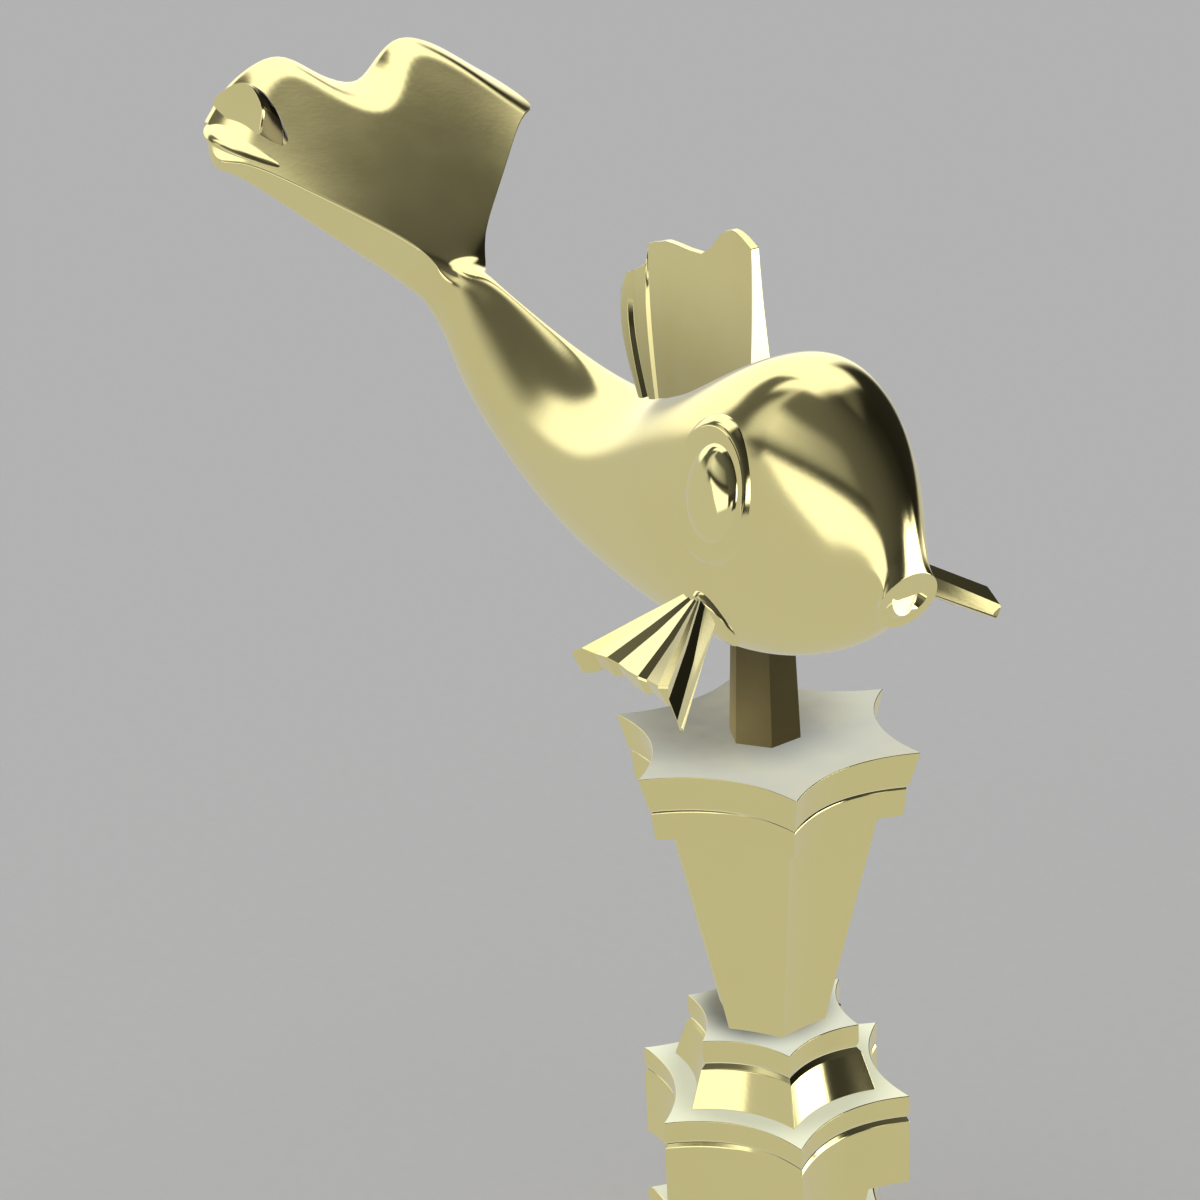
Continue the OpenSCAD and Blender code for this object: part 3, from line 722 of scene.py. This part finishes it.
def eye_point(u, v, h, side):
    """u towards the mouth, v up, h out of the face."""
    up, fw = math.radians(EYE_UP), math.radians(EYE_FWD)
    # the face's own axes
    n = np.array([0, -1, 0.0])
    x, y, z = u, -h, v
    # tilt up
    y, z = y * math.cos(-up) - z * math.sin(-up), y * math.sin(-up) + z * math.cos(-up)
    # turn forward
    x, y = x * math.cos(fw) - y * math.sin(fw), x * math.sin(fw) + y * math.cos(fw)
    p = EYE_C + np.array([x, y, z])
    return (p[0], p[1] * side * -1, p[2] + CAP_Z)


def ring_surface(rows, n, fn):
    """Rows of (half a, half b, height, centre shift) turned round the eye."""
    V, F = [], []
    for a, b, h, cx in rows:
        for i in range(n):
            t = 2 * math.pi * i / n
            V.append(fn(cx + a * math.cos(t), b * math.sin(t), h))
    F = grid_faces(len(rows), n)
    F.append(tuple(range(n)))
    o = (len(rows) - 1) * n
    F.append(tuple(o + j for j in range(n)))
    return V, F


def make_eye(side, tag):
    rows = [(EYE_A + 1, EYE_B + 2, -6, -.3), (EYE_A + 1, EYE_B + 2, -2.6, -.3)]
    for i in range(7):
        t = i / 6
        rows.append((EYE_A + .9 - .8 * t, EYE_B + 1.9 - 1.8 * t, -2.2 + 2 * math.sin(math.pi / 2 * t), .3 * t - .3))
    rows += [(EYE_A, EYE_B, 0, 0), (EYE_A * .72, EYE_B * .8, 0, 1)]
    V, F = ring_surface(rows, 96, lambda u, v, h: eye_point(u, v, h, side))
    add_mesh("eye_ring_" + tag, V, F, fish_brass, ["eye_disc_" + tag], sharp=35)
    rows = []
    for i in range(17):
        e = math.radians(90 * i / 16)
        c = max(math.cos(e), .01)
        rows.append((EYE_A * .7 * c, EYE_B * .76 * c, -.4 + 4.2 * math.sin(e), 1.5))
    V, F = ring_surface(rows, 96, lambda u, v, h: eye_point(u, v, h, side))
    add_mesh("eye_dome_" + tag, V, F, lens_brass, ["eye_lens_" + tag], sharp=60)


make_eye(-1, "right")
make_eye(1, "left")


# ------------------------------------------------------------- pedestal
def star(R, s, n=20):
    pts = []
    for k in range(6):
        a, b = math.radians(30 + 60 * k), math.radians(90 + 60 * k)
        A = R * np.array([math.cos(a), math.sin(a)])
        B = R * np.array([math.cos(b), math.sin(b)])
        M = (A + B) / np.linalg.norm(A + B)
        for i in range(n):
            t = i / n
            pts.append(A + (B - A) * t - M * s * R * 4 * t * (1 - t))
    return pts


def make_tier(name, node_name, levels, edge=0.22, crisp=15, mat=pedestal_brass):
    """levels: (corner radius, height below the cap's top, arc depth)."""
    V, F = [], []
    n = 20
    m = 6 * n
    for R, z, s in levels:
        for p in star(R, s, n):
            V.append((p[0], p[1], z + CAP_Z))
    L = len(levels)
    for i in range(L - 1):
        for j in range(m):
            k = (j + 1) % m
            F.append((i * m + j, (i + 1) * m + j, (i + 1) * m + k, i * m + k))
    # top and bottom in rings towards the axis
    for lvl, base in ((levels[0], 0), (levels[-1], (L - 1) * m)):
        prev = base
        for f, sm in ((.72, .6), (.42, .2)):
            o = len(V)
            for p in star(lvl[0] * f, lvl[2] * sm, n):
                V.append((p[0], p[1], lvl[1] + CAP_Z))
            for j in range(m):
                k = (j + 1) % m
                F.append((prev + j, prev + k, o + k, o + j))
            prev = o
        V.append((0, 0, lvl[1] + CAP_Z))
        c = len(V) - 1
        for j in range(m):
            F.append((prev + j, prev + (j + 1) % m, c))
    ob = add_mesh(name, V, F, mat, [node_name], sharp=crisp)
    return bevelled(ob, edge, 3, crisp)


make_tier("cap_star", "cap_plate", [(35, 0, .15), (32.5, -8, .15), (31.7, -8.5, .15)], mat=cap_brass)
make_tier("collar_star", "cap_collar", [(31.7, -8.5, .15), (32, -9, .15), (31.1, -15.5, .15)])
make_tier("column_star", "column", [(25.8, -15.5, .15), (19.25, -42.25, .09), (12.7, -69, .03)], 0.3)
make_tier("neck_star", "neck_plate", [(20.6, -69, .12), (20.6, -73.7, .12), (19.9, -74.9, .12)], mat=neck_brass)
make_tier("cove_star", "cove_block", [(19.9, -74.9, .12), (21.2, -76, .12), (24.4, -85.3, .12)])
make_tier("shoulder_star", "shoulder_plate", [(32.3, -85.3, .15), (32.3, -89.7, .15), (31.6, -90.8, .15)], mat=shoulder_brass)
make_tier("plinth_star", "plinth_block", [(31.6, -90.8, .15), (32.3, -92, .15), (32.3, -108.2, .15)])
make_tier("waist_star", "waist_block", [(25.5, -108.2, .12), (24.2, -109.4, .12), (22.6, -112.2, .12), (21.8, -116, .12),
                                        (22.8, -120, .12), (24.5, -122.6, .12), (26, -124, .12)], crisp=26)
make_tier("foot_star", "foot_plate", [(32, -124, .12), (33, -125, .12), (33, -130, .12)], 0.3)
make_tier("flare_star", "flare_block", [(29, -130, .12), (29.2, -132, .12), (29.8, -134, .12), (31.4, -137, .12),
                                        (33.5, -139.5, .12), (37.5, -142.3, .11), (42, -144, .1)], 0.3, 26)


def make_slab():
    """Base slab with its open nut well underneath."""
    n = 20
    m = 6 * n
    V, F = [], []
    for R, z in ((47, -144), (48, -145), (48, -158)):
        for p in star(R, .1, n):
            V.append((p[0], p[1], z + CAP_Z))
    for i in range(2):
        for j in range(m):
            k = (j + 1) % m
            F.append((i * m + j, (i + 1) * m + j, (i + 1) * m + k, i * m + k))
    prev = 0
    for f, sm in ((.72, .06), (.42, .02)):
        o = len(V)
        for p in star(47 * f, sm, n):
            V.append((p[0], p[1], -144 + CAP_Z))
        for j in range(m):
            F.append((prev + j, prev + (j + 1) % m, o + (j + 1) % m, o + j))
        prev = o
    V.append((0, 0, -144 + CAP_Z))
    c = len(V) - 1
    for j in range(m):
        F.append((prev + j, prev + (j + 1) % m, c))
    prev = 2 * m
    for r, z in ((9, -158), (9, -147), (3.3, -147)):
        o = len(V)
        for j in range(m):
            a = math.radians(30) + 2 * math.pi * j / m
            V.append((r * math.cos(a), r * math.sin(a), z + CAP_Z))
        for j in range(m):
            F.append((prev + j, prev + (j + 1) % m, o + (j + 1) % m, o + j))
        prev = o
    V.append((0, 0, -147 + CAP_Z))
    c = len(V) - 1
    for j in range(m):
        F.append((prev + j, prev + (j + 1) % m, c))
    ob = add_mesh("slab_star", V, F, pedestal_brass, ["base_slab"], sharp=24)
    return bevelled(ob, 0.4, 3, 24)


make_slab()


def make_post():
    V, F = [], []
    for r, z in ((8.2, 0), (8.2, .01), (7.3, 22.6)):
        for k in range(6):
            a = math.radians(30 + 60 * k)
            V.append((r * math.cos(a), r * math.sin(a), z + CAP_Z))
    for i in range(2):
        for j in range(6):
            k = (j + 1) % 6
            F.append((i * 6 + j, (i + 1) * 6 + j, (i + 1) * 6 + k, i * 6 + k))
    F.append(tuple(range(6)))
    F.append(tuple(range(12, 18)))
    ob = add_mesh("post_bar", V, F, post_brass, ["hex_post"], sharp=20)
    return bevelled(ob, 0.3, 3, 20)


make_post()


def make_felt():
    n = 20
    m = 6 * n
    rows = [(45, .1, 1.9), (45, .1, 1.4), (45, .1, .6), (44.6, .1, .12), (44.1, .1, 0)]
    V, F = [], []
    for R, s, z in rows:
        for p in star(R, s, n):
            V.append((p[0], p[1], z))
    L = len(rows)
    prev = (L - 1) * m
    for r, z in ((9.9, 0), (9.55, .2), (9.5, 1.9)):
        o = len(V)
        for j in range(m):
            a = math.radians(30) + 2 * math.pi * j / m
            V.append((r * math.cos(a), r * math.sin(a), z))
        for j in range(m):
            F.append((prev + j, prev + (j + 1) % m, o + (j + 1) % m, o + j))
        prev = o
    for i in range(L - 1):
        for j in range(m):
            k = (j + 1) % m
            F.append((i * m + j, (i + 1) * m + j, (i + 1) * m + k, i * m + k))
    for j in range(m):
        F.append((prev + j, prev + (j + 1) % m, (j + 1) % m, j))
    ob = add_mesh("felt_star", V, F, felt, ["felt_pad"], sharp=60)
    return ob


make_felt()

# the CAD pieces that stay: their own slots get the finished metals
KEEP = {"tail_dowel": hidden_brass, "belly_bush": hidden_brass, "tie_rod": steel, "base_washer": steel,
        "spring_washer": steel, "base_nut": steel, "locating_pins": steel}
for name, mat in KEEP.items():
    ob = frame["nodes"][name]
    for s in ob.material_slots:
        s.material = mat
    if not ob.material_slots:
        ob.data.materials.append(mat)


# ---------------------------------------------------------------- stage
def make_floor():
    me = bpy.data.meshes.new("floor")
    S = 6.0
    me.from_pydata([(-S, -S, 0), (S, -S, 0), (S, S, 0), (-S, S, 0)], [], [(0, 1, 2, 3)])
    ob = bpy.data.objects.new("floor", me)
    scene.collection.objects.link(ob)
    m = bpy.data.materials.new("floor_paper")
    m.use_nodes = True
    nt = m.node_tree
    p = nt.nodes["Principled BSDF"]
    p.inputs["Roughness"].default_value = 1.0
    p.inputs["Specular IOR Level"].default_value = 0.0
    fine = noise(nt, mapped(nt, (1, 1, 1)), 240.0, 3.0, 0.5)
    link(nt, ramp(nt, fine, [(0.3, (0.54, 0.54, 0.54)), (0.7, (0.55, 0.55, 0.55))]), p.inputs["Base Color"])
    me.materials.append(m)
    return ob


floor = make_floor()


# ------------------------------------------------------------- lighting
# The studio round the object, as soft panels painted one over the other.
# Each has a brightness and its limits: "az" left and right azimuth and
# softness; "el" lower and upper elevation, softness, and, where given, how
# much both rise per degree of azimuth from a middle azimuth; "cut" a plane
# through the sky, keeping what is under its level, and softness. Azimuth 0 is
# where the fish heads, -90 its right side, in degrees.
PANELS = [
    ("hall", ("az", -104, 120, 6), ("el", -9, 100, 2.5)),        # dark hall in front
    (.04, ("az", -20, 41, 2), ("el", -27, -3, 2)),               # its doorway
    (.10, ("az", -148, -118, 6), ("el", 22, 64, 7)),
    (.095, ("az", 42, 86, 9), ("el", 49, 64, 6)),                 # haze over the hall
    ("blob", ("az", -120, -34, 9), ("el", 21, 43, 7, -.2, -75)),  # pale panel, right
    (1.2, ("az", 123, 210, 5), ("el", 12, 100, 4, .25, 190)),    # rear wall
    (1.25, ("cut", (1, 0, 0), .16, .10), ("cut", (1, .6, 0), .42, .07),
     ("cut", (.385, -1, 0), .183, .09), ("el", 40, 100, 5)),     # ceiling panel
    (.11, ("az", 179, 224, 5), ("el", 43, 67, 4, -.5, 192)),     # end of the ceiling
    (.035, ("az", -112, -24, 6), ("el", 12.5, 17.5, 3, -.14, -68)),
    (1.3, ("az", -95, -23, 3), ("el", -42, 7.5, 2.5, -.25, -58)),  # low front panel
    (.52, ("az", -160, -40, 3), ("el", -100, 8, 3, -1.15, -87), ("el", -100, 13, 4)),
    (.52, ("az", -64, 8, 4), ("el", -100, -17, 3)),
    (1.1, ("az", -6, 7, 3), ("el", -20, -13, 2)),
    (2.8, ("az", 36, 47, 3), ("el", -3, 1, 3)),                  # low left panels
    (2.8, ("az", 32, 64, 3), ("el", -18, -2, 3)),
    (2.8, ("az", 60, 92, 3), ("el", -20, -12, 2)),
]
HALL = [(-105, .13), (-60, .12), (-30, .10), (0, .075), (25, .05), (45, .024), (65, .012), (125, .02)]
BLOB = [(-118, .6), (-96, .80), (-75, .5), (-60, .36), (-45, .25), (-30, .15)]
BELOW = .52


def build_world():
    w = bpy.data.worlds.new("studio")
    scene.world = w
    w.use_nodes = True
    nt = w.node_tree
    nt.nodes.clear()
    out = nt.nodes.new("ShaderNodeOutputWorld")
    bg = nt.nodes.new("ShaderNodeBackground")
    link(nt, bg.outputs[0], out.inputs[0])
    tc = nt.nodes.new("ShaderNodeTexCoord")
    ray = tc.outputs["Generated"]
    sep = nt.nodes.new("ShaderNodeSeparateXYZ")
    link(nt, ray, sep.inputs[0])
    deg = 180 / math.pi
    az = math_node(nt, "MULTIPLY", math_node(nt, "ARCTAN2", sep.outputs[1], sep.outputs[0]), deg)
    el = math_node(nt, "MULTIPLY", math_node(nt, "ARCSINE", sep.outputs[2]), deg)
    # the same azimuth measured from 0 to 360
    az2 = math_node(nt, "FLOORED_MODULO", az, 360.0)

    def step(x, mid, soft, up):
        n = nt.nodes.new("ShaderNodeMapRange")
        n.interpolation_type = "SMOOTHSTEP"
        link(nt, x, n.inputs[0])
        n.inputs[1].default_value = mid - soft
        n.inputs[2].default_value = mid + soft
        n.inputs[3].default_value = 0.0 if up else 1.0
        n.inputs[4].default_value = 1.0 if up else 0.0
        return n.outputs[0]

    def limit(cond):
        if cond[0] == "az":
            _, lo, hi, soft = cond
            a = az2 if hi > 180 else az
            return math_node(nt, "MULTIPLY", step(a, lo, soft, True), step(a, hi, soft, False))
        if cond[0] == "el":
            lo, hi, soft = cond[1:4]
            e = el
            if len(cond) > 4:
                slope, mid = cond[4:]
                a = az2 if mid > 180 else az
                e = math_node(nt, "SUBTRACT", el, math_node(nt, "MULTIPLY", math_node(nt, "SUBTRACT", a, mid), slope))
            m = step(e, lo, soft, True) if lo > -90 else None
            if hi < 90:
                top = step(e, hi, soft, False)
                m = top if m is None else math_node(nt, "MULTIPLY", m, top)
            return m
        d = nt.nodes.new("ShaderNodeVectorMath")
        d.operation = "DOT_PRODUCT"
        link(nt, ray, d.inputs[0])
        d.inputs[1].default_value = cond[1]
        return step(d.outputs["Value"], cond[2], cond[3], False)

    c = (BELOW, BELOW, BELOW)
    for val, *conds in PANELS:
        m = limit(conds[0])
        for cond in conds[1:]:
            m = math_node(nt, "MULTIPLY", m, limit(cond))
        if isinstance(val, str):
            stops = HALL if val == "hall" else BLOB
            t = math_node(nt, "ADD", math_node(nt, "DIVIDE", az, 360.0), 0.5)
            v = ramp(nt, t, [((x + 180) / 360, y) for x, y in stops], "LINEAR")
        else:
            v = (val, val, val)
        c = mix(nt, m, c, v)
    link(nt, c, bg.inputs[0])
    bg.inputs[1].default_value = 1.0


build_world()


# As in the photographed set-up, only the studio shows in the gloss: no piece
# mirrors another one or the floor.
for ob in scene.objects:
    if ob.type == "MESH":
        ob.visible_glossy = False

sun_data = bpy.data.lights.new("floor_light", "SUN")
sun_data.energy = 1.0
sun_data.angle = math.radians(120)
sun = bpy.data.objects.new("floor_light", sun_data)
scene.collection.objects.link(sun)
only_floor = bpy.data.collections.new("floor_only")
only_floor.objects.link(floor)
sun.light_linking.receiver_collection = only_floor


# --------------------------------------------------------------- camera
def make_camera():
    az, el, roll = (math.radians(v) for v in (54.05, 21.10, -2.98))
    back = Vector((math.sin(az) * math.cos(el), -math.cos(az) * math.cos(el), math.sin(el)))
    right = Vector((math.cos(az), math.sin(az), 0))
    up = back.cross(right)
    r2 = math.cos(roll) * right + math.sin(roll) * up
    u2 = -math.sin(roll) * right + math.cos(roll) * up
    pos = back * 520.93 + r2 * -35.78 + u2 * 28.79 + Vector((0, 0, CAP_Z))
    cd = bpy.data.cameras.new("camera")
    cd.sensor_width = 36
    cd.sensor_fit = "HORIZONTAL"
    cd.lens = 72
    cd.clip_start = 0.01
    cd.clip_end = 50
    ob = bpy.data.objects.new("camera", cd)
    scene.collection.objects.link(ob)
    m = Matrix((r2, u2, back)).transposed().to_4x4()
    ob.matrix_world = Matrix.Translation(pos * 0.001) @ m
    scene.camera = ob


make_camera()

bpy.context.view_layer.update()
